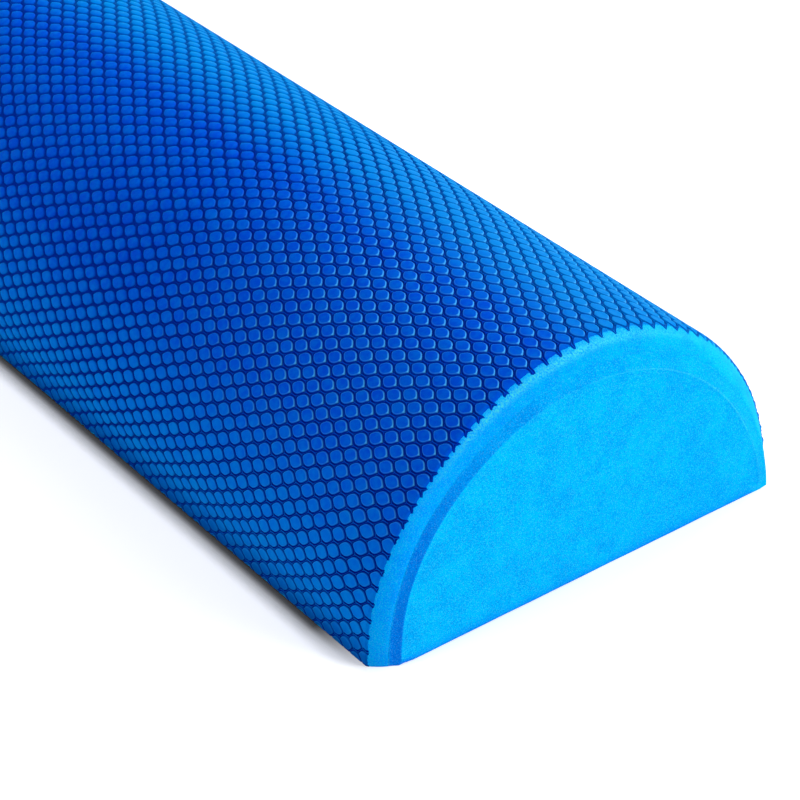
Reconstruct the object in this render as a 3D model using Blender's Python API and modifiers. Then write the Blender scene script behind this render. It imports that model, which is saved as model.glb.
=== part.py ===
# Half round foam roller: a solid foam core, a cover layer round its arc, and an embossed skin on arc and base.
# Metres, +Z up. The roller lies on its flat base along X, with the origin on the floor under its middle.

import math

import bmesh
import bpy

# The whole roller
roller_length = 0.9144  # 36 in, over the two raised end faces
arc_radius = 0.0762  # 6 in wide and 3 in high, over the skin
corner_radius = 0.003  # where the arc turns under to the base
seam_gap = 0.0003  # clearance left between bonded layers

# Embossed skin
skin_thickness = 0.0012
skin_set_back = 0.0053  # from the end face to the tips of the skin's scallops
skin_tuck = 0.002  # width of the arc's skin that lies under the base
pad_pitch = 0.00515  # from pad to pad round the arc, and across the base
scallop_depth = 0.0011  # how far the trimmed skin steps back at each groove
base_skin_set_back = 0.0012  # from the end face to the tips of the base skin's scallops

# Cover layer
cover_thickness = 0.0051
rim_lip = 0.0004  # flat left at the foot of the rolled rim
rim_base_rise_share = 3  # how soon the rim's base lifts off the floor as the rim rolls in

# Core and its raised end faces
face_step = 0.0023  # how far an end face stands proud of the rim's foot
face_wall_run = 0.0026  # how far the sloped wall round it leans in
base_edge_radius = 0.0025  # rounding under an end face

# How finely the curves are divided
steps_per_pad = 4
core_arc_steps = 96
cover_bore_steps = 48
rim_steps = 5
base_edge_steps = 4

# Worked out from the sizes above
half_length = roller_length / 2
foam_base = skin_thickness + seam_gap
cover_outer_radius = arc_radius - skin_thickness - seam_gap
cover_inner_radius = cover_outer_radius - cover_thickness
core_radius = cover_inner_radius - seam_gap
face_radius = core_radius - face_wall_run


# Where a rounded corner sits between an arc and a base, and how far the arc turns before it
def corner_place(arc, corner, base):
    centre_z = base + corner
    centre_y = math.sqrt((arc - corner) ** 2 - centre_z ** 2)
    return centre_y, centre_z, math.atan2(centre_y, centre_z)


outer_turn = corner_place(arc_radius, corner_radius, 0)[2]
arc_run = arc_radius * outer_turn
corner_run = corner_radius * (math.pi - outer_turn)
half_run = arc_run + corner_run + skin_tuck
pads_around = max(1, round(2 * half_run / pad_pitch))
outline_steps = pads_around * steps_per_pad


# The half round section as (y, z), from one tucked edge over the top to the other
def outline(arc, corner, tuck, base):
    centre_y, centre_z, turn = corner_place(arc, corner, base)
    points = []
    for step in range(outline_steps + 1):
        run = half_run * (2 * step / outline_steps - 1)
        reach = abs(run)
        if reach <= arc_run:
            angle = turn * reach / arc_run
            y = arc * math.sin(angle)
            z = arc * math.cos(angle)
        elif reach <= arc_run + corner_run:
            angle = turn + (math.pi - turn) * (reach - arc_run) / corner_run
            y = centre_y + corner * math.sin(angle)
            z = centre_z + corner * math.cos(angle)
        else:
            y = centre_y - tuck * (reach - arc_run - corner_run) / skin_tuck
            z = base
        points.append((math.copysign(y, run), z))
    return points


# How far the trim steps back at a step along it: rounded over each pad, sharp at each groove
def scallop(step):
    phase = step % steps_per_pad / steps_per_pad
    return scallop_depth * (1 - math.sin(math.pi * phase))


def hex_to_linear(code):
    channels = [int(code[i : i + 2], 16) / 255 for i in (0, 2, 4)]
    return [c / 12.92 if c <= 0.04045 else ((c + 0.055) / 1.055) ** 2.4 for c in channels] + [1]


def foam_material(name, colour_hex, roughness):
    material = bpy.data.materials.new(name)
    material.use_nodes = True
    surface = material.node_tree.nodes["Principled BSDF"]
    surface.inputs["Base Color"].default_value = hex_to_linear(colour_hex)
    surface.inputs["Roughness"].default_value = roughness
    surface.inputs["Metallic"].default_value = 0
    return material


def add_part(name, mesh, material):
    mesh.materials.clear()
    mesh.materials.append(material)
    part = bpy.data.objects.new(name, mesh)
    parts.objects.link(part)
    return part


# A closed solid through rings of points that all hold the same number
def loft(name, rings, material):
    bm = bmesh.new()
    loops = [[bm.verts.new(point) for point in ring] for ring in rings]
    for near, far in zip(loops, loops[1:]):
        for i, point in enumerate(near):
            follows = (i + 1) % len(near)
            bm.faces.new((point, near[follows], far[follows], far[i]))
    bm.faces.new(loops[0])
    bm.faces.new(loops[-1])
    bmesh.ops.recalc_face_normals(bm, faces=bm.faces)
    mesh = bpy.data.meshes.new(name)
    bm.to_mesh(mesh)
    bm.free()
    mesh.shade_smooth()
    mesh.set_sharp_from_angle(angle=math.radians(25))
    return add_part(name, mesh, material)


# The same rings at both ends, from one end face to the other
def both_ends(end_rings):
    far_end = [[(-x, y, z) for x, y, z in ring] for ring in end_rings]
    return far_end + end_rings[::-1]


# The core's section at a distance behind its end face: its arc leans out, and its base edge rounds under
def core_ring(behind):
    arc = face_radius + face_wall_run * min(behind / face_step, 1)
    rise = max(base_edge_radius - behind, 0)
    base = foam_base + base_edge_radius - math.sqrt(base_edge_radius ** 2 - rise ** 2)
    start = math.asin(base / arc)
    ring = []
    for step in range(core_arc_steps + 1):
        angle = start + (math.pi - 2 * start) * step / core_arc_steps
        ring.append((half_length - behind, arc * math.cos(angle), arc * math.sin(angle)))
    return ring


def make_core():
    edge_depths = {
        base_edge_radius * (1 - math.cos(math.pi / 2 * step / base_edge_steps))
        for step in range(base_edge_steps + 1)
    }
    rings = [core_ring(depth) for depth in sorted(edge_depths | {face_step})]
    loft("core", both_ends(rings), foam_material("bright blue EVA foam core", "02B8FF", 0.75))


# The cover's closed section: its outer outline, then a step up over the base skin's edge and back round its bore
def cover_ring(outer, seat, places):
    start = math.asin(foam_base / cover_inner_radius)
    bore = []
    for step in range(cover_bore_steps + 1):
        angle = start + (math.pi - 2 * start) * step / cover_bore_steps
        bore.append((cover_inner_radius * math.cos(angle), cover_inner_radius * math.sin(angle)))
    edge = outer[-1][0] - seat
    section = outer + [(edge, foam_base)] + bore + [(-edge, foam_base)]
    places = places + [places[-1]] * (len(bore) + 1) + [places[0]]
    return [(x, y, z) for x, (y, z) in zip(places, section)]


def make_cover():
    under_skin = outline(
        cover_outer_radius, corner_radius - foam_base, skin_tuck, foam_base
    )
    flush = outline(arc_radius, corner_radius, skin_tuck, 0)
    trim = half_length - skin_set_back + seam_gap
    trim_places = [trim - scallop(step) for step in range(outline_steps + 1)]
    rings = [
        cover_ring(flush, seam_gap, trim_places),
        cover_ring(under_skin, seam_gap, trim_places),
    ]
    # The rim rolls over from the flush outline to its foot at the core's wall
    lip_radius = cover_inner_radius + rim_lip
    foot = half_length - face_step
    for step in range(1, rim_steps + 1):
        roll = math.pi / 2 * step / rim_steps
        arc = lip_radius + (arc_radius - lip_radius) * math.cos(roll)
        place = trim + (foot - trim) * math.sin(roll)
        share = (arc - cover_inner_radius) / (arc_radius - cover_inner_radius)
        base = foam_base * min(1, rim_base_rise_share * (1 - share))
        section = outline(arc, corner_radius * share, skin_tuck * share, base)
        places = [place] * len(section)
        rings.insert(0, cover_ring(section, seam_gap * share, places))
    loft("cover_layer", both_ends(rings), foam_material("bright blue EVA foam cover", "00A8FF", 0.75))


# The arc's skin: a sheet bent round the outline, scalloped where it is trimmed, and thickened inwards
def make_dome_skin():
    bm = bmesh.new()
    bmesh.ops.create_grid(bm, x_segments=1, y_segments=outline_steps, size=1)
    section = outline(arc_radius, corner_radius, skin_tuck, 0)
    for vertex in bm.verts:
        end = math.copysign(1, vertex.co.x)
        step = round((vertex.co.y + 1) / 2 * outline_steps)
        y, z = section[step]
        vertex.co = (end * (half_length - skin_set_back - scallop(step)), y, z)
    bmesh.ops.recalc_face_normals(bm, faces=bm.faces)
    top = max(bm.faces, key=lambda face: face.calc_center_median().z)
    if top.normal.z < 0:
        bmesh.ops.reverse_faces(bm, faces=bm.faces)
    mesh = bpy.data.meshes.new("dome_skin")
    bm.to_mesh(mesh)
    bm.free()
    mesh.shade_smooth()
    skin = add_part("dome_skin", mesh, skin_material)
    thicken = skin.modifiers.new("Skin thickness", "SOLIDIFY")
    thicken.thickness = skin_thickness
    thicken.offset = -1
    thicken.use_even_offset = True


# The base's skin: a flat sheet between the tucked edges, with the same scalloped trim at both ends
def make_base_skin():
    edge = corner_place(arc_radius, corner_radius, 0)[0] - skin_tuck - 2 * seam_gap
    pads_across = max(1, round(2 * edge / pad_pitch))
    steps = pads_across * steps_per_pad
    end_points = []
    for step in range(steps + 1):
        x = half_length - base_skin_set_back - scallop(step)
        end_points.append((x, edge * (2 * step / steps - 1)))
    sheet = bpy.data.curves.new("base_skin", "CURVE")
    sheet.dimensions = "2D"
    sheet.fill_mode = "BOTH"
    sheet.extrude = skin_thickness / 2
    points = end_points + [(-x, y) for x, y in reversed(end_points)]
    spline = sheet.splines.new("POLY")
    spline.points.add(len(points) - 1)
    spline.use_cyclic_u = True
    for point, (x, y) in zip(spline.points, points):
        point.co = (x, y, 0, 1)
    sheet.materials.append(skin_material)
    skin = bpy.data.objects.new("base_skin", sheet)
    skin.location.z = skin_thickness / 2
    parts.objects.link(skin)


for old in list(bpy.data.objects):
    bpy.data.objects.remove(old, do_unlink=True)

parts = bpy.data.collections.new("Half round foam roller")
bpy.context.scene.collection.children.link(parts)
skin_material = foam_material("dark blue embossed EVA skin", "0050C8", 0.55)

make_core()
make_cover()
make_dome_skin()
make_base_skin()
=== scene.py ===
import math

import bpy
import numpy as np
from mathutils import Matrix, Vector


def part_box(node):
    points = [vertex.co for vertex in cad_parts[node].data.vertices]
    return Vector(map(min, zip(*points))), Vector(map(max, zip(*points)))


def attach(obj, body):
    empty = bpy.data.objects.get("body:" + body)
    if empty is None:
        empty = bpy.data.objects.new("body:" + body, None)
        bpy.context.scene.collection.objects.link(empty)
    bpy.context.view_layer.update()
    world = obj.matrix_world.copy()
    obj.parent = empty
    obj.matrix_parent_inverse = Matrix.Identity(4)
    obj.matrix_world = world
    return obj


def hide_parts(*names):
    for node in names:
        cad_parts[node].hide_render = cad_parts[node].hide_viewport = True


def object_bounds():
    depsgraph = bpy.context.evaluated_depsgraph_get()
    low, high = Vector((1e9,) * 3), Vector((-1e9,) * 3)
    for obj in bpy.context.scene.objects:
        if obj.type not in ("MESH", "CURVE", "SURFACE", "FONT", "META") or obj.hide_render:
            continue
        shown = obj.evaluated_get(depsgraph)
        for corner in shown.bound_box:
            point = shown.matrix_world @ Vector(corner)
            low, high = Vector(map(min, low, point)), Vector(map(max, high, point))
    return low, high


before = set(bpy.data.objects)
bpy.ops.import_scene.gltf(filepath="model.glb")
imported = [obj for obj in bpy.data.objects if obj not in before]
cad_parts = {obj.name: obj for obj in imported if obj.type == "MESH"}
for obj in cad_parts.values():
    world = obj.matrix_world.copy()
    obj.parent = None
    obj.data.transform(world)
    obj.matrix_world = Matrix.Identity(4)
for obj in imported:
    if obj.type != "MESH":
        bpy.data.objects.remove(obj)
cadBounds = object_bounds()
mm = 0.001

# Sizes that come from the frame
halfLength = cadBounds[1].x
halfWidth = cadBounds[1].y
arcRadius = cadBounds[1].z
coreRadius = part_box("core")[1].z
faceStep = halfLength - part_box("cover_layer")[1].x
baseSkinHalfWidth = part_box("base_skin")[1].y
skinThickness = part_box("base_skin")[1].z

section = {
    "cornerRadius": 0.7 * mm,  # where the arc turns under to the base
    "tuck": 2 * mm,  # the arc's skin that lies under the base
    "rimCornerShare": 0.4,  # what is left of the corner radius once the rim is ground in
    "rimCornerReach": 0.1,  # how soon that is, as a share of the rim's depth
    "rimRise": 0.05 * mm,  # how far the rim's base has lifted off the floor at its foot
    # The soft sides bulge a little over the floor, more on the -Y side: mm at degrees up from each edge
    "bulgeAngles": [0, 2, 5, 9, 13, 20, 34, 50, 70],
    "bulge": [0, 0.1, 0.3, 0.9, 1.7, 1.9, 1.3, 0.5, 0],
    "bulgeFar": [0, 0.1, 0.3, 0.7, 0.7, 0.4, 0, 0, 0],
    "bulgeStart": [7, 24],  # mm behind an end, where the bulge sets in
}


# Where the corner's centre sits for an arc, and how far the arc turns before it
def cornerPlace(arc, corner, base):
    centreZ = base + corner
    centreY = np.sqrt((arc - corner) ** 2 - centreZ ** 2)
    return centreY, centreZ, np.arctan2(centreY, centreZ)


outerTurn = float(cornerPlace(arcRadius, section["cornerRadius"], 0)[2])
arcRun = arcRadius * outerTurn
cornerRun = section["cornerRadius"] * (math.pi - outerTurn)
halfRun = arcRun + cornerRun + section["tuck"]
rimDepth = arcRadius - coreRadius  # how far the rim rolls in, from the skin to the core


# A point round the half round section: run from the top, inset of the whole outline, lift off it
def outlinePoint(run, inset, lift, corner=None, base=None):
    share = np.clip(inset / rimDepth, 0, 1)
    if corner is None:
        ground = np.clip(share / section["rimCornerReach"], 0, 1)
        corner = section["cornerRadius"] * (1 - (1 - section["rimCornerShare"]) * ground)
        base = section["rimRise"] * share ** 3
    arc = arcRadius - inset
    centreY, centreZ, turn = cornerPlace(arc, corner, base)
    reach = np.abs(run)
    onArc = reach <= arcRun
    bend = turn + (math.pi - turn) * np.clip((reach - arcRun) / cornerRun, 0, 1)
    angle = np.where(onArc, turn * reach / arcRun, bend)
    radius = np.where(onArc, arc, corner) + lift
    past = np.maximum(reach - arcRun - cornerRun, 0)
    y = np.where(onArc, 0, centreY) + radius * np.sin(angle) - past
    z = np.where(onArc, 0, centreZ) + radius * np.cos(angle)
    y = np.minimum(y, halfWidth)
    return np.where(run < 0, -y, y), z


# How far the soft sides stand over the true arc
def sideBulge(run, behind):
    degrees = 90 - np.degrees(np.abs(run) / arcRadius)
    reach = np.where(run < 0, np.interp(degrees, section["bulgeAngles"], section["bulge"]),
                     np.interp(degrees, section["bulgeAngles"], section["bulgeFar"]))
    share = np.clip((behind / mm - section["bulgeStart"][0]) / np.ptp(section["bulgeStart"]), 0, 1)
    return reach * mm * share * share * (3 - 2 * share)


# The rim, as ground by hand: places in degrees up and over from the -Y base, sizes in mm behind the face
rim = {
    "angles": [0, 12, 25, 45, 57, 68, 80, 92, 108, 125, 140, 155, 170, 180],
    # where the skin is cut through, and how far behind that the grinding starts
    "trim": [5.5, 5.6, 5.4, 4.5, 4.9, 6.8, 8, 9.1, 10.2, 9.7, 10, 9, 8.5, 7.7],
    "lead": [0.9, 0.9, 0.9, 0.9, 0.9, 0.9, 0.9, 0.9, 0.9, 1.4, 2.4, 1.5, 1.2, 1],
    # depth of the rim's foot, and how the rim rolls in: 1 is a bevel, 2 an ellipse
    "foot": [2.1, 2.2, 2.3, 2.3, 2.3, 2.3, 2.3, 2.3, 2.3, 2.3, 2.3, 2.1, 1, 0.3],
    "roundness": [1.15, 1.25, 1.4, 1.8, 2, 2, 2, 1.9, 1.8, 1.6, 1.35, 1.1, 1, 1],
    # how much bluer the ground rim is than the face: painted shade, deepest on the -Y side where less light
    # falls
    "rimShade": [0.38, 0.38, 0.38, 0.36, 0.32, 0.3, 0.28, 0.2, 0.12, 0.05, 0, 0, 0, 0],
    "edgeAngles": [0, 4, 12, 20, 28, 36, 46, 56, 66, 85, 112, 133, 151, 161, 170, 180],
    # mm over the core's radius, where the rim's foot meets the wall, and the edge of the raised face
    "footOut": [1.9, 1.7, 1.4, 1.2, 1.1, 0.8, 0.4, 0.2, 0.15, 0.15, 0.15, 0.15, 0.15, 0.2, 0.3, 0.5],
    "faceOut": [-1.2, -1.2, -1, -0.9, -1.1, -1.5, -1.9, -2.4, -2.65, -3.1, -3.5, -4.2, -4.2, -3.9, -3, -2.5],
    # painted shade that deepens the wall's blue, deepest on the -Y side where less light falls, and the
    # painted highlight along the face's edge
    "paintedShade": [1, 1, 1, 1, 1, 0.9, 0.75, 0.6, 0.45, 0.25, 0.1, 0.05, 0.05, 0.05, 0.05, 0.1],
    "edgeHighlight": [0, 0, 0, 0, 0, 0, 0, 0, 0.05, 0.1, 0.4, 0.7, 0.6, 0.5, 0.3, 0.2],
    "smoothing": 4,  # degrees, how far the values are smoothed, and those along the face's edge
    "edgeSmoothing": 1.5,
    "wobble": 0.2,  # unevenness of the hand trim
    "wobbleWaves": [(9.1, 0.6, 1), (23.7, 2.1, 0.8), (51.3, 0, 0.5)],  # to a radian, start, share
    "wobbleTurn": 1.7,  # radians that they are turned by at the far end
}
shareNames = ("roundness", "rimShade", "paintedShade", "edgeHighlight")  # all the others are in mm


# Reads a rim value round the section; the far end was ground the other way round
def rimValue(name, run, nearEnd, spread=rim["smoothing"]):
    degrees = 90 + np.degrees(run / arcRadius) * np.where(nearEnd, 1, -1)
    angles = rim["angles"] if len(rim[name]) == len(rim["angles"]) else rim["edgeAngles"]
    steps = (-2, -1, 0, 1, 2)
    smooth = sum(np.interp(degrees + step * spread, angles, rim[name]) for step in steps) / len(steps)
    return smooth * (1 if name in shareNames else mm)


# Where the grinding of the rim starts, behind the end face, with the wobble of the hand
def rimStart(run, nearEnd):
    turn = run / arcRadius + np.where(nearEnd, 0, rim["wobbleTurn"])
    waves = sum(share * np.sin(rate * turn + start) for rate, start, share in rim["wobbleWaves"])
    wobble = rim["wobble"] * mm * waves / sum(share for rate, start, share in rim["wobbleWaves"])
    return rimValue("trim", run, nearEnd) + rimValue("lead", run, nearEnd) + wobble


# How far the ground rim lies inside the full section, a distance behind the end face
def rimInset(behind, run, nearEnd):
    start = rimStart(run, nearEnd)
    foot = rimValue("foot", run, nearEnd)
    power = rimValue("roundness", run, nearEnd)
    share = np.clip((start - behind) / (start - foot), 0, 1)
    footInset = rimDepth - rimValue("footOut", run, nearEnd, rim["edgeSmoothing"])
    return footInset * (1 - (1 - share ** power) ** (1 / power))


def hexToLinear(code):
    channels = [int(code[i:i + 2], 16) / 255 for i in (0, 2, 4)]
    return [c / 12.92 if c <= 0.04045 else ((c + 0.055) / 1.055) ** 2.4 for c in channels] + [1]


# Sets sockets to plain values, colours in hex, or links them: to a node, or to a node's named output
def setSockets(node, sockets, links=None):
    for key, value in (sockets or {}).items():
        node.inputs[key].default_value = hexToLinear(value) if isinstance(value, str) else value
    for key, source in (links or {}).items():
        source, output = source if isinstance(source, tuple) else (source, 0)
        node.id_data.links.new(source.outputs[output], node.inputs[key])


def addNode(tree, kind, settings=None, sockets=None, links=None):
    made = tree.nodes.new("ShaderNode" + kind)
    for key, value in (settings or {}).items():
        setattr(made, key, value)
    setSockets(made, sockets, links)
    return made


# Socket values that map one span of numbers to another
def fromTo(taken, given=(0, 1)):
    return dict(zip(("From Min", "From Max", "To Min", "To Max"), (*taken, *given)))


colours = {"data_type": "RGBA"}


def newMaterial(name):
    material = bpy.data.materials.new(name)
    material.use_nodes = True
    tree = material.node_tree
    return material, tree, tree.nodes["Principled BSDF"]


# Gloss and bloom keep to plain values on the shader's own sockets
def finishSurface(surface, values):
    setSockets(surface, {"IOR": values["ior"], "Specular IOR Level": values["gloss"],
                         "Specular Tint": values["glossTint"], "Sheen Weight": values["bloom"],
                         "Sheen Roughness": values["bloomRoughness"], "Sheen Tint": values["bloomTint"]})


closedCellFoam = {
    "face": "00C4FF",
    "shade": "009CEC",
    "wall": "FFC4FF",  # painted shade: deepens the blue of the cut wall round the face, and of the ground rim and the base edge
    "glint": "58EEDC",  # painted highlight: light glints on the rim's outer edge over the lit top, and along the face's edge
    "glintSpeckSize": 0.55,  # mm
    "glintSpeckRange": (0.42, 0.62),  # of the noise, from none of the painted highlight to all of it, which breaks it into glints
    "speckle": "50E4FF",
    "speckleSpacing": 0.5,  # mm
    "speckleReach": (0.4, 0.15),  # of that spacing, from where a speck fades in to its full light
    "speckleShare": 0.45,
    "cellSize": 0.36,  # mm, the cut cells of the foam, drawn larger so that they show
    "cellRange": (0.36, 0.64),
    "cellShares": (-0.5, 0.9),  # of the shade, in the light cells and in the deep ones
    "cellDepth": 0.09,  # mm
    "cellStrength": 0.8,
    "cloudSize": 9,  # mm, soft unevenness where the face was rubbed
    "cloudRange": (0.35, 0.68),
    "cloudShare": 0.55,
    "roughness": 0.6,
    "ior": 1.48,
    "gloss": 0.01,  # cut foam scatters nearly all of its gloss
    "glossTint": "30C8FF",
    "bloom": 0.25,
    "bloomRoughness": 0.3,
    "bloomTint": "10C8FF",
}


# Closed cell EVA foam, skived and buffed: matt bright blue, with fine cut cells that catch light as specks
def makeFoamMaterial(name, values):
    material, tree, surface = newMaterial(name)
    spot = (addNode(tree, "TexCoord"), "Object")
    cells = addNode(tree, "TexNoise", {},
                    {"Scale": 1 / (values["cellSize"] * mm), "Detail": 3, "Roughness": 0.6}, {"Vector": spot})
    clouds = addNode(tree, "TexNoise", {}, {"Scale": 1 / (values["cloudSize"] * mm), "Detail": 4},
                     {"Vector": spot})
    specks = addNode(tree, "TexVoronoi", {"feature": "F1"},
                     {"Scale": 1 / (values["speckleSpacing"] * mm), "Randomness": 1}, {"Vector": spot})
    cloudShare = addNode(tree, "MapRange", {}, fromTo(values["cloudRange"], (0, values["cloudShare"])),
                         {"Value": clouds})
    cellShare = addNode(tree, "MapRange", {}, fromTo(values["cellRange"], values["cellShares"]),
                        {"Value": cells})
    shadeShare = addNode(tree, "Math", {"operation": "ADD", "use_clamp": True}, {},
                         {0: cloudShare, 1: cellShare})
    body = addNode(tree, "Mix", colours, {6: values["face"], 7: values["shade"]}, {0: shadeShare})
    speckShare = addNode(tree, "MapRange", {}, fromTo(values["speckleReach"], (0, values["speckleShare"])),
                         {"Value": (specks, "Distance")})
    speckled = addNode(tree, "Mix", colours, {7: values["speckle"]}, {0: speckShare, 6: (body, 2)})
    glintNoise = addNode(tree, "TexNoise", {},
                     {"Scale": 1 / (values["glintSpeckSize"] * mm), "Detail": 4, "Roughness": 0.75},
                     {"Vector": spot})
    glinting = addNode(tree, "MapRange", {}, fromTo(values["glintSpeckRange"]), {"Value": glintNoise})
    bump = addNode(tree, "Bump", {},
                   {"Strength": values["cellStrength"], "Distance": values["cellDepth"] * mm},
                   {"Height": cells})
    # The painted shade, where less light falls on the wall, the ground rim and the base edge
    wall = addNode(tree, "Attribute", {"attribute_name": "paintedShade"})
    walled = addNode(tree, "Mix", {**colours, "blend_type": "MULTIPLY"}, {7: values["wall"]},
                     {0: (wall, "Fac"), 6: (speckled, 2)})
    # The painted highlight, broken into glints by the noise
    glint = addNode(tree, "Attribute", {"attribute_name": "paintedGlint"})
    glintShare = addNode(tree, "Math", {"operation": "MULTIPLY", "use_clamp": True}, {},
                          {0: (glint, "Fac"), 1: glinting})
    whole = addNode(tree, "Mix", colours, {7: values["glint"]}, {0: glintShare, 6: (walled, 2)})
    setSockets(surface, {"Roughness": values["roughness"]}, {"Base Color": (whole, 2), "Normal": bump})
    finishSurface(surface, values)
    return material


embossedSkin = {
    "pad": "004CD9",
    # a lighter blue, for pads rubbed at random and for the painted light on the lit sides
    "padRubbedAndLit": "0083E0",
    # painted shade in the grooves, on top of the shade that their depth gives
    "groove": "001488",
    "highlightColour": "50C4FF",  # painted highlight along each pad's edge, a thin light line
    "grainSize": 0.5,  # mm, the pressed grain on each pad, drawn coarser so that it shows
    "grainDepth": 0.03,  # mm
    "grainStrength": 0.4,
    "mottleSize": 1.8,  # mm
    "mottleRange": (0.35, 0.7),
    "mottleShares": (-0.06, 0.22),  # of the rubbed blue
    "padRoughness": 0.48,
    "grooveRoughness": 0.6,
    "ior": 1.5,
    "gloss": 0.005,
    "glossTint": "30D0FF",
    "bloom": 0.8,  # the soft bluish bloom along its far side
    "bloomRoughness": 0.3,
    "bloomTint": "00C4FF",
}


# Denser EVA skin, pressed hot between patterned rolls: a deeper blue with a dull satin gloss on each pad
def makeSkinMaterial(name, values):
    material, tree, surface = newMaterial(name)
    spot = (addNode(tree, "TexCoord"), "Object")
    depth = (addNode(tree, "Attribute", {"attribute_name": "grooveDepth"}), "Fac")
    tone = addNode(tree, "Attribute", {"attribute_name": "padTone"})
    grain = addNode(tree, "TexNoise", {}, {"Scale": 1 / (values["grainSize"] * mm), "Detail": 3},
                    {"Vector": spot})
    mottle = addNode(tree, "TexNoise", {}, {"Scale": 1 / (values["mottleSize"] * mm), "Detail": 3},
                     {"Vector": spot})
    mottleShare = addNode(tree, "MapRange", {}, fromTo(values["mottleRange"], values["mottleShares"]),
                          {"Value": mottle})
    # Random rubbing, and the painted light that the pad tone carries
    rubbedAndLitShare = addNode(tree, "Math", {"operation": "ADD", "use_clamp": True}, {},
                          {0: mottleShare, 1: (tone, "Fac")})
    pad = addNode(tree, "Mix", colours, {6: values["pad"], 7: values["padRubbedAndLit"]}, {0: rubbedAndLitShare})
    # The grooves get painted shade
    whole = addNode(tree, "Mix", colours, {7: values["groove"]}, {0: depth, 6: (pad, 2)})
    # The painted highlights along the pads' edges
    highlight = addNode(tree, "Attribute", {"attribute_name": "edgeHighlight"})
    edged = addNode(tree, "Mix", colours, {7: values["highlightColour"]}, {0: (highlight, "Fac"), 6: (whole, 2)})
    rough = addNode(tree, "MapRange", {}, fromTo((0, 1), (values["padRoughness"], values["grooveRoughness"])),
                    {"Value": depth})
    bump = addNode(tree, "Bump", {},
                   {"Strength": values["grainStrength"], "Distance": values["grainDepth"] * mm},
                   {"Height": grain})
    setSockets(surface, {}, {"Base Color": (edged, 2), "Roughness": rough, "Normal": bump})
    finishSurface(surface, values)
    return material


coreFoam = makeFoamMaterial("EVA foam core, skived", closedCellFoam)
# The cover's foam is the core's, with a fuller blue in its darker cells as part of the painted shade on its
# ground band
coverFoam = makeFoamMaterial("EVA foam cover, ground round the rim",
                             {**closedCellFoam, "shade": "009CFF", "cloudSize": 6, "speckleShare": 0.35})
skinMaterial = makeSkinMaterial("EVA skin, hot embossed", embossedSkin)
print("materials made")


def addObject(name, data):
    made = bpy.data.objects.new(name, data)
    bpy.context.scene.collection.objects.link(made)
    return made


# Turns points and faces into a piece that rides on the roller
def addPiece(name, points, faces, material, replaced, values=None):
    mesh = bpy.data.meshes.new(name)
    mesh.vertices.add(len(points))
    mesh.vertices.foreach_set("co", np.asarray(points, dtype=np.float32).ravel())
    corners = np.concatenate([np.asarray(face, dtype=np.int32).ravel() for face in faces])
    counts = np.concatenate([np.full(len(face), np.asarray(face).shape[1]) for face in faces])
    starts = np.concatenate([[0], np.cumsum(counts)[:-1]]).astype(np.int32)
    mesh.loops.add(len(corners))
    mesh.loops.foreach_set("vertex_index", corners)
    mesh.polygons.add(len(counts))
    mesh.polygons.foreach_set("loop_start", starts)
    mesh.polygons.foreach_set("use_smooth", np.ones(len(counts), dtype=bool))
    for key, numbers in (values or {}).items():
        layer = mesh.attributes.new(key, "FLOAT", "POINT")
        layer.data.foreach_set("value", np.asarray(numbers, dtype=np.float32))
    mesh.materials.append(material)
    mesh.update(calc_edges=True)
    mesh.validate()
    piece = addObject(name, mesh)
    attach(piece, "root")
    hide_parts(replaced)
    return piece


# Quads between rings that hold the same number of points, as one closed tube
def tubeFaces(ringCount, ringSize):
    ring = np.arange(ringSize)
    follows = (ring + 1) % ringSize
    faces = []
    for i in range(ringCount - 1):
        near, far = i * ringSize, (i + 1) * ringSize
        faces.append(np.stack([near + ring, near + follows, far + follows, far + ring], axis=1))
    return np.concatenate(faces)


core = {
    "wallSteps": 9,
    "wallStart": 0.04,  # share of the foot's depth at which the wall sets in under the lip
    "footSoftness": 1.2,  # above 1 the wall eases into the rim's foot
    "footFade": 0.4,  # what is left of the wall's painted shade behind the foot
    "underlap": 0.35 * mm,  # the wall runs on this far under the rim
    "underlapDepth": 0.7 * mm,
    "hiddenDepth": 0.9 * mm,  # and the rings inside the cover lie this much deeper
    "hiddenRise": 0.3 * mm,
    "lipHeight": 0.12 * mm,  # the crisp edge stands this far over the face
    "lipWidth": 0.7 * mm,
    "cornerRadius": 0.3 * mm,
    "baseEdgeHeight": 1.8 * mm,  # the face eases back over this height above the floor
    "baseEdgeDepth": 0.15 * mm,
    "baseShades": [0, 0.1, 0.25, 0.4, 0.9],  # painted shade along the base edge, by the floor: face, lip, wall
    "outlineSteps": 288,
    "baseSteps": 48,
    "middleHeight": 0.4,  # of the arc's radius, the middle of the face's rings
    "faceDip": 0.05 * mm,  # unevenness of the skived face, and the size of its waves
    "dipSizes": (7 * mm, 9 * mm),
    "baseWave": 0.1 * mm,  # and of its bottom edge
    "waveSizes": (4.1 * mm, 11 * mm),
    "faceShares": [0.985, 0.96, 0.92, 0.86, 0.78, 0.68, 0.56, 0.42, 0.27, 0.12],
}
coreRun = np.linspace(-halfRun, halfRun, core["outlineSteps"] + 1)


# The closed D outline of the core at one end, a radius and a place behind the face for each point
def coreLoop(radius, behind, base, nearEnd):
    y, z = outlinePoint(coreRun, arcRadius - radius, 0, core["cornerRadius"], base)
    across = np.linspace(y[-1], y[0], core["baseSteps"] + 1)[1:-1]
    short, long = core["waveSizes"]
    wave = (np.sin(across / short) * np.sin(across / long + 1) + 1) / 2
    y = np.concatenate([y, across])
    z = np.concatenate([z, z[-1] + wave * core["baseWave"]])
    x = halfLength - np.concatenate([behind, np.full(len(across), behind[-1])])
    return np.stack([x if nearEnd else -x, y, z], axis=1)


# How high the core's base lies over the floor, a depth behind the end face
def baseRise(depth):
    share = np.clip(1 - depth / core["baseEdgeDepth"], 0, 1)
    return core["baseEdgeHeight"] * (1 - np.sqrt(1 - share ** 2))


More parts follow.
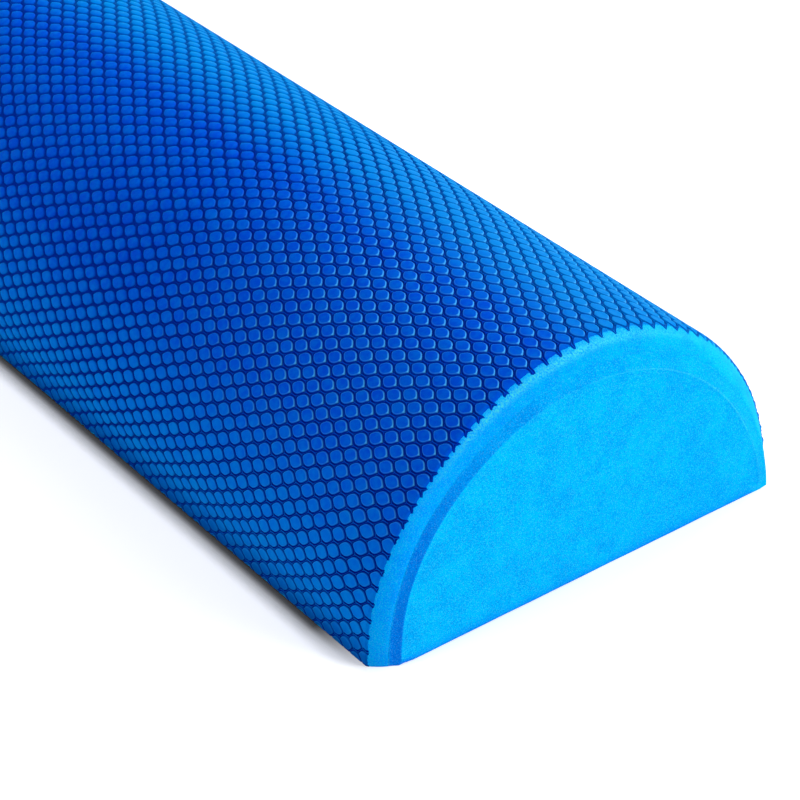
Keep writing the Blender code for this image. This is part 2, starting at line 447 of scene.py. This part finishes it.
def coreEnd(nearEnd):
    run = coreRun
    footOut = coreRadius + rimValue("footOut", run, nearEnd, rim["edgeSmoothing"])
    faceRadius = coreRadius + rimValue("faceOut", run, nearEnd, rim["edgeSmoothing"])
    foot = rimValue("foot", run, nearEnd)
    rings = []
    # The flat face, from its middle out to the lip
    lipStart = coreLoop(faceRadius - core["lipWidth"], np.full_like(run, core["lipHeight"]),
                        core["baseEdgeHeight"] + core["lipWidth"], nearEnd)
    middle = np.array([lipStart[0, 0], 0, arcRadius * core["middleHeight"]])
    across, up = core["dipSizes"]
    for share in reversed(core["faceShares"]):
        ring = middle + (lipStart - middle) * share
        dip = np.sin(ring[:, 1] / across + 1) * np.sin(ring[:, 2] / up) * core["faceDip"] * (1 - share)
        ring[:, 0] += dip if nearEnd else -dip
        rings.append(ring)
    rings.append(lipStart)
    # The lip's crest, its outer bevel and the wall down to the rim's foot
    rings.append(coreLoop(faceRadius - core["lipWidth"] / 2, np.zeros_like(run),
                          core["baseEdgeHeight"] + core["lipWidth"] / 2, nearEnd))
    for step in range(core["wallSteps"] + 1):
        share = step / core["wallSteps"]
        eased = 1 - (1 - share) ** core["footSoftness"]
        depth = foot * (core["wallStart"] + (1 - core["wallStart"]) * eased)
        radius = faceRadius + (footOut - faceRadius) * share
        rings.append(coreLoop(radius, depth, baseRise(depth[-1]), nearEnd))
    rings.append(coreLoop(footOut + core["underlap"], foot + core["underlapDepth"], 0, nearEnd))
    # Inside the cover and over the base skin
    for depth, base in ((faceStep, skinThickness), (3 * faceStep, skinThickness + core["hiddenRise"])):
        radius = np.full_like(run, coreRadius)
        rings.append(coreLoop(radius, np.maximum(foot, depth) + core["hiddenDepth"], base, nearEnd))
    # Tones: the wall's painted shade, fading into the rim's foot, and the painted highlight along the face's
    # edge
    lipRing = len(core["faceShares"]) + 1
    wallRings = [0, 1, core["wallSteps"] - 1, core["wallSteps"] + 1]
    wall = []
    for step in range(len(rings)):
        fade = np.interp(step - lipRing, wallRings, [0, 1, 1, core["footFade"]])
        under = np.interp(step - lipRing, [-2, -1, 0, 1, 2], core["baseShades"])
        across = np.full(len(rings[0]) - len(run), under)
        wall.append(np.concatenate([rimValue("paintedShade", run, nearEnd) * fade, across]))
    light = [np.zeros(len(rings[0])) for ring in rings]
    # A painted highlight along the lip, strongest on the lit right side
    light[lipRing][:len(run)] = rimValue("edgeHighlight", run, nearEnd)
    return rings, wall, light


def makeCore():
    near, far = coreEnd(True), coreEnd(False)
    rings, wall, light = (nearTable + farTable[::-1] for nearTable, farTable in zip(near, far))
    ringCount, ringSize = len(near[0]), len(rings[0])
    points = np.concatenate(rings)
    faces = [tubeFaces(2 * ringCount, ringSize)]
    ring = np.arange(ringSize)
    follows = (ring + 1) % ringSize
    last = len(points)
    middles = [points[:ringSize].mean(axis=0), points[-ringSize:].mean(axis=0)]
    points = np.concatenate([points, middles])
    nearFan = np.stack([follows, ring, np.full(ringSize, last)], axis=1)
    farFan = np.stack([ring, follows, np.full(ringSize, ringSize + 1)], axis=1) + last - ringSize
    piece = addPiece("foam_core", points, faces + [nearFan, farFan], coreFoam, "core",
                     {"paintedShade": np.concatenate(wall + [[0, 0]]),
                      "paintedGlint": np.concatenate(light + [[0, 0]])})


cover = {
    "rimSteps": 26,
    "outlineSteps": 480,
    "boreSteps": 64,
    "glintAngles": [25, 45, 65, 90, 110, 135],  # degrees over from -Y, and how strong the painted highlight on the rim is there, brightest over the lit top
    "glintShares": [0, 0.12, 0.7, 0.85, 0.35, 0.1],
    "glintPlace": 1.9 * mm,  # how far in from the full section that zone lies, and its spread
    "glintSpread": 0.9 * mm,
    "skinClear": 0.62 * mm,  # the cover stays this far under the pads where the skin lies over it
    "skinOverlap": 4 * mm,  # and goes in under the skin by this much
    "boreClear": 0.1 * mm,
    "unevenness": 0.05 * mm,  # of the ground rim, and the size of its waves: round, behind, round
    "unevenSizes": (5.3 * mm, 1.1 * mm, 2.9 * mm),
}
coverRun = np.linspace(-halfRun, halfRun, cover["outlineSteps"] + 1)


# One ring of the cover: its outer outline, then back round its bore
def coverRing(places, inset, lift):
    bore = coreRadius - cover["boreClear"]
    y, z = outlinePoint(coverRun, inset, lift)
    start = math.asin(skinThickness / bore)
    turn = np.linspace(start, math.pi - start, cover["boreSteps"] + 1)
    y = np.concatenate([y, bore * np.cos(turn)])
    z = np.concatenate([z, bore * np.sin(turn)])
    boreRun = (math.pi / 2 - turn) * arcRadius
    x = np.concatenate([places, np.interp(boreRun, coverRun, places)])
    return np.stack([x, y, z], axis=1)


def coverEnd(nearEnd):
    run = coverRun
    start = rimStart(run, nearEnd)
    foot = rimValue("foot", run, nearEnd)
    degrees = 90 + np.degrees(run / arcRadius)
    groundDegrees = degrees if nearEnd else 180 - degrees
    glintHere = np.interp(groundDegrees, cover["glintAngles"], cover["glintShares"])
    wide, deep, narrow = cover["unevenSizes"]
    rings, glint, toned = [], [], []
    bore = np.zeros(cover["boreSteps"] + 1)
    for step in range(cover["rimSteps"] + 1):
        share = math.cos(math.pi / 2 * step / cover["rimSteps"])  # close rings at the foot and at the trim
        behind = foot + (start - foot) * (1 - share)
        inset = rimInset(behind, run, nearEnd)
        soft = np.sin(run / wide + behind / deep) * np.sin(run / narrow + 1.3)
        lift = np.minimum(0, inset - cover["skinClear"])
        lift = lift - cover["unevenness"] * (soft + 1) / 2 * (1 - share)
        x = halfLength - behind
        rings.append(coverRing(x if nearEnd else -x, inset, lift))
        # A painted highlight along the rim's outer edge, strongest over the lit top
        glinting = glintHere * np.exp(-((inset - cover["glintPlace"]) / cover["glintSpread"]) ** 2)
        glint.append(np.concatenate([glinting, bore]))
        toned.append(np.concatenate([rimValue("rimShade", run, nearEnd), bore]))
    x = halfLength - start - cover["skinOverlap"]
    rings.append(coverRing(x if nearEnd else -x, np.zeros_like(run), np.full_like(run, -skinThickness)))
    glint.append(np.concatenate([glintHere, bore]))
    toned.append(toned[-1])
    return rings, glint, toned


def makeCover():
    rings, glint, toned = (near + far[::-1] for near, far in zip(coverEnd(True), coverEnd(False)))
    ringSize = len(rings[0])
    tube = tubeFaces(len(rings), ringSize)
    outer = cover["outlineSteps"] + 1
    # Each end is closed from the outline to the bore
    lastRing = (len(rings) - 1) * ringSize
    boreOf = outer + np.round(np.linspace(cover["boreSteps"], 0, outer)).astype(int)
    i = np.arange(outer - 1)
    nearCap = np.stack([i, i + 1, boreOf[i + 1], boreOf[i]], axis=1)
    triangles = nearCap[:, :3][boreOf[i + 1] == boreOf[i]]
    quads = nearCap[boreOf[i + 1] != boreOf[i]]
    faces = [tube, triangles[:, ::-1], quads[:, ::-1], triangles + lastRing, quads + lastRing]
    piece = addPiece("foam_cover", np.concatenate(rings), faces, coverFoam, "cover_layer",
                     {"paintedShade": np.concatenate(toned), "paintedGlint": np.concatenate(glint)})


skin = {
    "columnStep": 4.67,  # mm from column to column of pads along the roller
    "rowStep": 5.142,  # mm from pad to pad round the arc
    "firstColumn": 6.3,  # mm from the end face to the first column's middle
    "firstRow": -70.74,  # mm round from the top to the middle of a pad in that column
    "shoulder": 1.0,  # mm from a pad's middle to where its sides along the roller turn in to its tips
    "flankInset": 0.35,  # mm between a pad and the middle of the groove on its slanting sides
    "flatInset": 0.55,  # the same on its sides along the roller
    "cornerSoftness": 0.25,  # mm, how round the pad's corners are
    # A curve is a pair: places, then values. This one is the height in mm over the mm inside a pad's outline.
    "padHeight": ([-0.7, -0.51, -0.45, -0.38, -0.14, -0.04, 0.1, 0.2, 0.34, 0.5, 0.9, 1.4, 2.2],
                  [-0.12, -0.14, -0.34, -0.56, -0.59, -0.55, -0.19, -0.08, -0.02, 0, -0.03, -0.06, -0.04]),
    # Points to a side of a pad's cell, then its rings: share of the way in to the outline, then mm inside it
    "rings": {"plain": (2, [0.4], [-0.04, 0.12, 0.4]),
              "near": (4, [0.12, 0.28, 0.64], [-0.04, 0.08, 0.17, 0.27, 0.5]),
              "trim": (10, [0.12, 0.26, 0.5, 0.75], [-0.04, 0.06, 0.14, 0.22, 0.32, 0.5, 0.8, 1.2, 1.65])},
    "closeColumns": (29, 9),  # finer pads behind the trim, at the near and the far end
    "stripColumns": {"trim": 2, "near": 10, "plain": 33},
    "padTone": (0.06, 0.045),  # how rubbed one pad is beyond its neighbours: middle and spread
    "edgePlace": 0.27,  # mm inside the pad's outline, a faint painted highlight all round it
    "edgeHighlight": 0.2,
    "lineWidth": 0.1,
    "lineRound": ([20, 48, 90, 110], [0.6, 1, 1, 0.6]),  # degrees over from -Y, and how strong it is there
    "lineFade": 0.3,  # mm of grinding over which all the lines go
    "highlightPlace": 0.17,  # and the brighter painted highlight on the side that faces the light
    "highlightTone": 1.0,
    "highlightSide": (0.95, 0.31),  # that side: along the roller, and round it
    "highlightFocus": 2.5,  # how closely the line keeps to that side
    "tipHighlight": 1,  # the tip at that side is the brightest
    "tipWidth": 0.14,
    "tipFocus": 16,
    "highlightRound": ([25, 48, 75, 100], [0, 1, 1, 0.8]),  # degrees over from -Y, and how strong that painted highlight is there
    "highlightAlong": ([70, 155], [1, 0]),  # mm from the end, where that fades out
    "ridgeTone": 0.8,  # how much of the grooves' painted shade the low ridges along them lose
    "ridgeBand": ([-0.57, -0.35], [1, 0.6]),  # mm outside: full where the grooves are wide, less where narrow
    "ridgeAlong": ([60, 145], [1, 0]),  # mm from the end, where the ridges and the faint lines fade out
    # Degrees over from -Y, and how much lighter the pads are painted there: painted light on the low -Y edge
    # and over the far side
    "paintedLightRound": ([2, 10, 42, 84, 104, 125, 150], [0.78, 0.68, 0.02, 0, 0.95, 1.05, 0.8]),
    "darkBand": ([-0.04, 0.16], [1, 0]),  # mm inside the outline, where the grooves' painted shade ends
    "darkAlong": ([60, 220], [1, 0.84]),  # mm from the end, where the grooves' painted shade gets a little lighter
    "darkRound": ([20, 60], [1, 0.82]),  # the grooves hold less painted shade over the lit top than along the -Y edge
    "shadeRound": ([1, 8], [0.6, 0]),  # the skin's dark tuck along the -Y edge
    "warp": 0.16,  # mm, how far the pressed pattern wavers along and round, and over what sizes
    "warpSizes": [(13, 31, 21), (17, 43, 19)],
    "warpEdge": 4,  # mm from the sheet's long edges, where it doesn't waver round
    # How far it wanders, in mm: powers of 100 mm behind the end go down, and of 100 mm round go across
    "wanderAlong": [[0.02, 0.56, 0.62, 0.78, 0.3],
                    [-0.95, -9.65, -5.22, -1.64, 0],
                    [2.85, 6.15, 0.7, 0, 0],
                    [-0.65, -1.12, 0, 0, 0]],
    "wanderRound": [[0.1, -0.98, -1.15, -0.03, 0.17],
                    [-0.98, 12.09, 11.86, 0.14, 0],
                    [-0.86, -3.91, -3.49, 0, 0],
                    [0.34, 0.19, 0, 0, 0]],
    "wanderLimits": [3, -1.1, 0.5],  # it stays the same beyond 300 mm, and beyond these places round the arc
    "spareRows": 2,  # rows laid past the edges, so that it can
    "pressed": ([0, 3], [0.2, 1]),  # mm up from the tuck, where the pattern is pressed flatter
    # Degrees over from -Y, between which the grinding gets blunter: mm of skin taken off before the foam
    # shows, and mm that the skin's edge stands over the ground foam
    "cutThrough": ([138, 160], [0.55, 1.2]),
    "groundStep": ([138, 160], [0.06, 0.45]),
    "toothed": ([142, 156], [0, 1]),  # and where its edge turns into single teeth, one for each pad
    "toothDepth": 0.45,
    "grooveLead": 0.75,  # mm more that the grooves outlast, so that they run on into the rim
    "grooveBand": ([-0.3, 0.3], [1, 0]),  # mm inside the outline, where that ends
    "grooveRound": ([20, 55], [0.45, 1]),  # and degrees over from -Y, between which it comes in full
    "fray": 0.1,  # mm, roughness of the trimmed edge, and its waves to a mm: along, round, start
    "frayWaves": [(7.3, 4.1, 0), (3.7, -9.2, 1)],
    "groundFloor": -0.6,  # mm, the deepest that a groove lies under it
    "leastSkin": 0.02,  # mm, less is cut away
    "footClear": 0.3,  # mm that the skin stays behind the rim's foot
}
patternLength = 2 * (halfLength / mm - skin["firstColumn"])
columnCount = round(patternLength / skin["columnStep"]) + 1
columnStep = patternLength / (columnCount - 1)
rowStep = skin["rowStep"]
shoulderX = skin["shoulder"]
tipX = columnStep - shoulderX


# Reads one of the skin's curves
def read(name, place):
    return np.interp(place, *skin[name])


# How far inside a pad's rounded outline a point lies, in mm
def padInside(x, t):
    across = np.array([rowStep / 2, tipX - shoulderX])
    across = across / np.linalg.norm(across)
    total = 0
    for signT in (1, -1):
        total = total + np.exp(-(rowStep / 2 - signT * t - skin["flatInset"]) / skin["cornerSoftness"])
        for signX in (1, -1):
            reach = across[0] * tipX - across[0] * signX * x - across[1] * signT * t
            total = total + np.exp(-(reach - skin["flankInset"]) / skin["cornerSoftness"])
    return -skin["cornerSoftness"] * np.log(total)


# One pad and its half of the grooves round it: flat points, their height and tones, and triangles
def padTemplate(pointsPerSide, shares, depths):
    corners = [(tipX, 0), (shoulderX, rowStep / 2), (-shoulderX, rowStep / 2),
               (-tipX, 0), (-shoulderX, -rowStep / 2), (shoulderX, -rowStep / 2)]
    border = []
    for (ax, at), (bx, bt) in zip(corners, corners[1:] + corners[:1]):
        for step in range(pointsPerSide):
            share = step / pointsPerSide
            border.append((ax + (bx - ax) * share, at + (bt - at) * share))
    border = np.array(border)
    borderInside = padInside(border[:, 0], border[:, 1])
    size = len(border)
    targets = [borderInside * (1 - share) for share in shares] + [np.full(size, depth) for depth in depths]
    rings = [border]
    for target in targets:
        low, high = np.zeros(size), np.ones(size)
        for halving in range(40):  # finds each point of the ring between the middle and the border
            half = (low + high) / 2
            outside = padInside(border[:, 0] * half, border[:, 1] * half) < target
            low, high = np.where(outside, low, half), np.where(outside, half, high)
        rings.append(border * low[:, None])
    flat = np.concatenate(rings + [np.zeros((1, 2))])
    inside = padInside(flat[:, 0], flat[:, 1])
    height, groove, dark = (read(name, inside) for name in ("padHeight", "grooveBand", "darkBand"))
    # Each kind's border keeps to the plain kind's points, so that strips of two kinds meet without a crack
    shared = np.arange(0, size, pointsPerSide // 2)
    for values in (height, groove):
        values[:size] = np.interp(np.arange(size), np.append(shared, size),
                                  np.append(values[shared], values[0]))
    i = np.arange(size)
    follows = (i + 1) % size
    faces = []
    for ring in range(len(rings) - 1):
        outer, inner = ring * size, (ring + 1) * size
        faces.append(np.stack([outer + i, outer + follows, inner + i], axis=1))
        faces.append(np.stack([outer + follows, inner + follows, inner + i], axis=1))
    last = (len(rings) - 1) * size
    faces.append(np.stack([last + i, last + follows, np.full(size, len(flat) - 1)], axis=1))
    faces = np.concatenate(faces)
    # Tones: the faint painted highlight round the pad, the low ridge on its border, and the brighter painted
    # highlight on the lit side
    edge = skin["edgeHighlight"] * np.exp(-((inside - skin["edgePlace"]) / skin["lineWidth"]) ** 2)
    ridge = np.zeros(len(flat))
    ridge[:2 * size] = np.tile(read("ridgeBand", borderInside), 2)
    x, t = flat.T
    nudge = 0.01  # mm to each side, to find which way is out
    out = np.stack([padInside(x - nudge, t) - padInside(x + nudge, t),
                    padInside(x, t - nudge) - padInside(x, t + nudge)], axis=1)
    out = out / np.maximum(np.linalg.norm(out, axis=1), nudge / 10)[:, None]
    side = np.clip(out @ np.array(skin["highlightSide"]), 0, 1) ** skin["highlightFocus"]
    side = side * np.exp(-((inside - skin["highlightPlace"]) / skin["lineWidth"]) ** 2)
    tip = np.clip(out[:, 0], 0, 1) ** skin["tipFocus"]
    tip = tip * np.exp(-((inside - skin["highlightPlace"]) / skin["tipWidth"]) ** 2)
    highlight = np.maximum(skin["highlightTone"] * side, skin["tipHighlight"] * tip)
    return flat, np.stack([height, groove, dark, edge, ridge, highlight]), faces


padKinds = {kind: padTemplate(*rings) for kind, rings in skin["rings"].items()}
toneDraw = np.random.default_rng(36)


# Where the pressed pattern lies once it has wandered, in mm
def wander(points):
    most, low, high = skin["wanderLimits"]
    behind = np.clip((halfLength / mm - points[:, 0]) / 100, 0, most)
    place = np.clip(points[:, 1] / 100, low, high)
    shifts = [np.polynomial.polynomial.polyval2d(behind, place, skin[name])
              for name in ("wanderAlong", "wanderRound")]
    return points + np.stack(shifts, axis=1)


# Lays the pad pattern over columns of the sheet, joins its points and drops what lies past its edges
def layPads(kind, columns, rowMiddle, edgeRun, wanders):
    flat, tables, faces = padKinds[kind]
    spare = skin["spareRows"] if wanders else 0
    centres = []
    for column in columns:
        x = halfLength / mm - skin["firstColumn"] - columnStep * column
        shift = rowMiddle + (rowStep / 2 if column % 2 else 0)
        lowest = math.floor((-edgeRun - shift) / rowStep - 0.5) - spare
        highest = math.ceil((edgeRun - shift) / rowStep + 0.5) + spare
        centres += [(x, shift + rowStep * row) for row in range(lowest, highest + 1)]
    centres = np.array(centres)
    tone = np.repeat(toneDraw.normal(*skin["padTone"], len(centres)), len(flat))
    points = (centres[:, None, :] + flat[None, :, :]).reshape(-1, 2)
    if wanders:
        points = wander(points)
    points[:, 1] = np.clip(points[:, 1], -edgeRun, edgeRun)
    tables = np.tile(tables, len(centres))
    faces = (faces[None] + (np.arange(len(centres)) * len(flat))[:, None, None]).reshape(-1, 3)
    rounded = np.round(points * 1000).astype(np.int64)  # points within a thousandth of a mm are joined
    first, joined = np.unique(rounded, axis=0, return_index=True, return_inverse=True)[1:]
    faces = joined.reshape(-1)[faces]
    points, tables, tone = points[first], tables[:, first], tone[first]
    a, b, c = points[faces[:, 0]], points[faces[:, 1]], points[faces[:, 2]]
    area = (b[:, 0] - a[:, 0]) * (c[:, 1] - a[:, 1]) - (b[:, 1] - a[:, 1]) * (c[:, 0] - a[:, 0])
    return points, tables, tone, faces[area > 0.0001]  # square mm, without slivers and what is folded flat


# Height of the skin's face over the rim's ground shape, in mm
def groundHeight(height, groove, inset, x, run, cut, step):
    fray = skin["fray"]
    for along, around, start in skin["frayWaves"]:
        fray = fray * np.sin(x * along + run * around + start)
    spare = cut + skin["grooveLead"] * groove + fray - inset  # skin left before the foam shows
    return np.minimum(height + inset, np.clip(spare, skin["groundFloor"], step)), spare


# Cuts a strip down to the faces that the kept points belong to, and adds it with its tones
def addStrip(name, replaced, keep, faces, *tables):
    used, renumbered = np.unique(faces[keep[faces].any(axis=1)], return_inverse=True)
    x, y, z, dark, edge, tone = (table[used] for table in tables)
    faces = renumbered.reshape(-1, 3)
    addPiece(name, np.stack([x, y, np.maximum(z, 0)], axis=1), [faces], skinMaterial,
             replaced, {"grooveDepth": dark, "edgeHighlight": edge, "padTone": tone})
    print(name, len(faces), "triangles")


def makeDomeStrip(name, kind, columns):
    points, tables, tone, faces = layPads(kind, columns, skin["firstRow"], halfRun / mm, True)
    height, groove, dark, edge, ridge, highlight = tables
    x, run = points.T * mm
    drift = skin["warp"] * mm
    (firstRound, firstAlong, firstBoth), (secondAlong, secondBoth, secondRound) = (
        np.array(skin["warpSizes"]) * mm)
    inward = np.clip((halfRun - np.abs(run)) / (skin["warpEdge"] * mm), 0, 1)
    x = x + drift * (np.sin(run / firstRound) + np.sin(x / firstAlong + run / firstBoth))
    run = run + drift * inward * (np.sin(x / secondAlong) + np.sin(x / secondBoth + run / secondRound + 1))
    nearEnd = x > 0
    behind = halfLength - np.abs(x)
    inset = rimInset(behind, run, nearEnd)
    degrees = 90 + np.degrees(run / arcRadius)
    groundDegrees = np.where(nearEnd, degrees, 180 - degrees)  # the far end was ground the other way round

    # Shape: flatter by the tuck, and cut down to the ground rim, at its far side in teeth
    groove = groove * read("grooveRound", groundDegrees)
    height = height * read("pressed", (arcRun + cornerRun - np.abs(run)) / mm)
    toothed = read("toothed", groundDegrees)
    tooth = 1 + np.cos(2 * math.pi * (run / mm - skin["firstRow"]) / rowStep)
    step = read("groundStep", groundDegrees) * (1 + toothed * (tooth - 1))
    cut = read("cutThrough", groundDegrees) * (1 - toothed * skin["toothDepth"] * (2 - tooth))
    ground, spare = groundHeight(height, groove, inset / mm, x / mm, run / mm, cut, step)
    y, z = outlinePoint(run, inset, ground * mm + sideBulge(run, behind))
    keep = (spare > skin["leastSkin"]) & (behind > rimValue("foot", run, nearEnd) + skin["footClear"] * mm)

    # Tones
    # Painted light: the pads lighter along the low -Y edge and over the far side, on top of their random
    # rubbing
    tone = tone + read("paintedLightRound", degrees)
    close = read("ridgeAlong", behind / mm)
    # Painted shade in the grooves, less over the lit top
    dark = dark * read("darkRound", degrees) * read("darkAlong", behind / mm)
    dark = np.maximum(dark * (1 - skin["ridgeTone"] * ridge * close), read("shadeRound", degrees))
    # The painted highlight fades out off the lit part of the arc and away from the end
    highlight = highlight * read("highlightRound", groundDegrees) * read("highlightAlong", behind / mm)
    edge = edge * close * read("lineRound", degrees)
    edge = np.clip(edge + highlight, 0, 1) * np.clip(1 - inset / (skin["lineFade"] * mm), 0, 1)
    addStrip(name, "dome_skin", keep, faces, x, y, z, dark, edge, tone)


baseSheet = {
    "heightShare": 0.8,  # of the pattern's height on the arc
    "grooveShare": 0.5,
    "cornerCut": 2 * faceStep,  # taken off each corner
}


def makeBaseStrip(name, kind, columns):
    points, tables, tone, faces = layPads(kind, columns, 0, baseSkinHalfWidth / mm, False)
    height, groove, dark, edge = tables[:4]
    x, y = points.T * mm
    behind = halfLength - np.abs(x)
    inset = baseRise(behind)
    ground, spare = groundHeight(height * baseSheet["heightShare"], groove * baseSheet["grooveShare"],
                                 inset / mm, x / mm, y / mm, read("cutThrough", 0), read("groundStep", 0))
    halfWidthHere = baseSkinHalfWidth - np.clip(baseSheet["cornerCut"] - behind, 0, baseSheet["cornerCut"])
    keep = (behind > faceStep + skinThickness) & (np.abs(y) <= halfWidthHere)
    addStrip(name, "base_skin", keep, faces[:, ::-1], x, y, inset - ground * mm, dark, edge, tone)


# One sheet in strips that meet along the grooves: ground ends, close columns, plain middle
def makeSheet(name, makeStrip, endColumns, closeNear, closeFar):
    parts = (("trim_near", "trim"), ("close_near", "near"), ("middle", "plain"), ("close_far", "near"),
             ("trim_far", "trim"))
    ends = (-1, endColumns, endColumns + closeNear, columnCount - endColumns - closeFar,
            columnCount - endColumns, columnCount + 1)
    for (part, kind), first, end in zip(parts, ends, ends[1:]):
        for count, column in enumerate(range(first, end, skin["stripColumns"][kind])):
            until = min(column + skin["stripColumns"][kind], end)
            makeStrip(f"{name}_{part}_{count + 1}", kind, range(column, until))


makeCore()
print("core made")
makeCover()
print("cover made")
makeSheet("dome_skin", makeDomeStrip, 3, *skin["closeColumns"])
makeSheet("base_skin", makeBaseStrip, 1, 0, 0)
print("skins made")


studio = {
    "floorSize": 12,
    "floorColour": "F4F4F4",
    "floorRoughness": 0.9,
    "floorGloss": 0.1,
    "ambient": 0.2,
    "ambientColour": "DCEAFF",
    "floorGlow": 0.5,  # camera rays only, so that the floor reads white round its shadow
    "farGlowReach": (0.8, 2.2),  # m from the middle, where it grows to full white beyond the lamps
    "farGlow": 0.5,
    "contactReach": 8 * mm,  # how far the contact shadow on the -Y side reaches
    "contactDepth": 3,
    "contactAhead": 30 * mm,  # and it thins out over this length towards the end face, to just past it
    "contactPast": 3 * mm,
    "contactTuck": (3 * mm, 1 * mm),  # beyond the arc's edge, where it gets deepest
    "contactTuckShade": 0.35,
    "cameraPlace": (0.9372, -0.4026, 0.4765),
    "cameraTurn": (54.88, 33.53, -2.23),  # degrees from -Y towards +X, degrees up, and roll
    "lens": 121.35,  # mm, on a sensor this wide
    "sensorWidth": 36,
    "softBoxes": [  # name, place, what it is turned to, size, and power in watts
        ("soft box, front right", (2.4, 1.5, 1.25), (0.45, 0, 0.04), (1.2, 1.2), 60),
        ("soft box, overhead", (0.1, 0.25, 2.5), (0.3, 0, 0.05), (2.0, 1.4), 12),
        ("soft box, back right", (-0.8, 2.4, 1.25), (0.1, 0, 0.05), (1.8, 1.0), 40),
        ("soft box, far end", (-1.3, -0.2, 0.4), (-0.45, 0, 0.04), (0.5, 0.5), 1.8),
        ("soft box, left", (-0.4, -2.5, 1.5), (0.2, 0, 0.03), (2.0, 1.4), 33),
    ],
}


def makeCamera():
    azimuth, elevation, roll = (math.radians(angle) for angle in studio["cameraTurn"])
    back = Vector((math.sin(azimuth) * math.cos(elevation), -math.cos(azimuth) * math.cos(elevation),
                   math.sin(elevation)))
    right = (-back).cross(Vector((0, 0, 1))).normalized()
    up = right.cross(-back)
    rolledRight = right * math.cos(roll) + up * math.sin(roll)
    rolledUp = up * math.cos(roll) - right * math.sin(roll)
    camera = addObject("camera", bpy.data.cameras.new("camera"))
    turned = Matrix((rolledRight, rolledUp, back)).transposed()
    camera.matrix_world = Matrix.Translation(studio["cameraPlace"]) @ turned.to_4x4()
    camera.data.lens = studio["lens"]
    camera.data.sensor_width = studio["sensorWidth"]
    camera.data.clip_end = 50  # m
    bpy.context.scene.camera = camera


# A white painted floor that reads as white where nothing shades it
def makeFloor():
    half = studio["floorSize"] / 2
    mesh = bpy.data.meshes.new("floor")
    corners = [(-half, -half, 0), (half, -half, 0), (half, half, 0), (-half, half, 0)]
    mesh.from_pydata(corners, [], [(0, 1, 2, 3)])
    material, tree, surface = newMaterial("white studio floor, matt paint")
    setSockets(surface, {"Roughness": studio["floorRoughness"], "Specular IOR Level": studio["floorGloss"]})
    seen = addNode(tree, "LightPath")
    glow = addNode(tree, "Emission", {}, {"Color": (1, 1, 1, 1)})
    spot = (addNode(tree, "TexCoord"), "Object")
    axes = addNode(tree, "SeparateXYZ", {}, {}, {0: spot})
    # The contact shadow: dark under the -Y side only, thinner towards the ends
    beside = addNode(tree, "MapRange", {}, fromTo((-arcRadius, 0), (1, 0)), {"Value": (axes, "Y")})
    along = addNode(tree, "Math", {"operation": "ABSOLUTE"}, {}, {0: (axes, "X")})
    fadeOut = (halfLength - studio["contactAhead"], halfLength + studio["contactPast"])
    ahead = addNode(tree, "MapRange", {}, fromTo(fadeOut, (1, 0)), {"Value": along})
    within = addNode(tree, "Math", {"operation": "MINIMUM"}, {}, {0: beside, 1: ahead})
    shelter = addNode(tree, "AmbientOcclusion", {"samples": 8}, {"Distance": studio["contactReach"]})
    deepened = addNode(tree, "Math", {"operation": "POWER"}, {1: studio["contactDepth"]},
                       {0: (shelter, "AO")})
    tuck = [-arcRadius - reach for reach in studio["contactTuck"]]
    tucked = addNode(tree, "MapRange", {}, fromTo(tuck, (1, studio["contactTuckShade"])),
                     {"Value": (axes, "Y")})
    closest = addNode(tree, "Math", {"operation": "MULTIPLY"}, {}, {0: deepened, 1: tucked})
    contact = addNode(tree, "Mix", {"data_type": "FLOAT"}, {2: 1}, {0: within, 3: closest})
    painted = addNode(tree, "Mix", colours, {6: (0, 0, 0, 1), 7: studio["floorColour"]},
                      {0: contact})
    setSockets(surface, {}, {"Base Color": (painted, 2)})
    # The glow that only the camera sees
    glowing = addNode(tree, "Math", {"operation": "MULTIPLY"}, {1: studio["floorGlow"]}, {0: contact})
    away = addNode(tree, "VectorMath", {"operation": "LENGTH"}, {}, {0: spot})
    farGlow = addNode(tree, "MapRange", {}, fromTo(studio["farGlowReach"], (0, studio["farGlow"])),
                      {"Value": (away, "Value")})
    wholeGlow = addNode(tree, "Math", {"operation": "ADD"}, {}, {0: glowing, 1: farGlow})
    share = addNode(tree, "Math", {"operation": "MULTIPLY"}, {},
                    {0: (seen, "Is Camera Ray"), 1: wholeGlow})
    setSockets(glow, {}, {"Strength": share})
    both = addNode(tree, "AddShader", {}, {}, {0: surface, 1: glow})
    setSockets(tree.nodes["Material Output"], {}, {"Surface": both})
    mesh.materials.append(material)
    floor = addObject("floor", mesh)


# White wherever the camera or a reflection looks out, and a dim bluish fill for all else
def makeWorld():
    world = bpy.data.worlds.new("studio")
    bpy.context.scene.world = world
    world.use_nodes = True
    tree = world.node_tree
    tree.nodes.clear()
    seen = addNode(tree, "LightPath")
    mirrored = addNode(tree, "Math", {"operation": "MAXIMUM"}, {},
                       {0: (seen, "Is Glossy Ray"), 1: (seen, "Is Transmission Ray")})
    direct = addNode(tree, "Math", {"operation": "MAXIMUM"}, {}, {0: (seen, "Is Camera Ray"), 1: mirrored})
    strength = addNode(tree, "MapRange", {}, fromTo((0, 1), (studio["ambient"], 1)), {"Value": direct})
    tint = addNode(tree, "Mix", colours, {6: studio["ambientColour"], 7: (1, 1, 1, 1)}, {0: direct})
    sky = addNode(tree, "Background", {}, {}, {"Color": (tint, 2), "Strength": strength})
    addNode(tree, "OutputWorld", {}, {}, {"Surface": sky})


def addSoftBox(name, place, target, size, power):
    light = bpy.data.lights.new(name, "AREA")
    light.shape = "RECTANGLE"
    light.size, light.size_y = size
    light.energy = power
    lamp = addObject(name, light)
    lamp.location = place
    lamp.rotation_euler = (Vector(target) - Vector(place)).to_track_quat("-Z", "Y").to_euler()


makeCamera()
makeFloor()
makeWorld()
for softBox in studio["softBoxes"]:
    addSoftBox(*softBox)
bpy.context.scene.view_settings.view_transform = "Standard"
print("studio made")
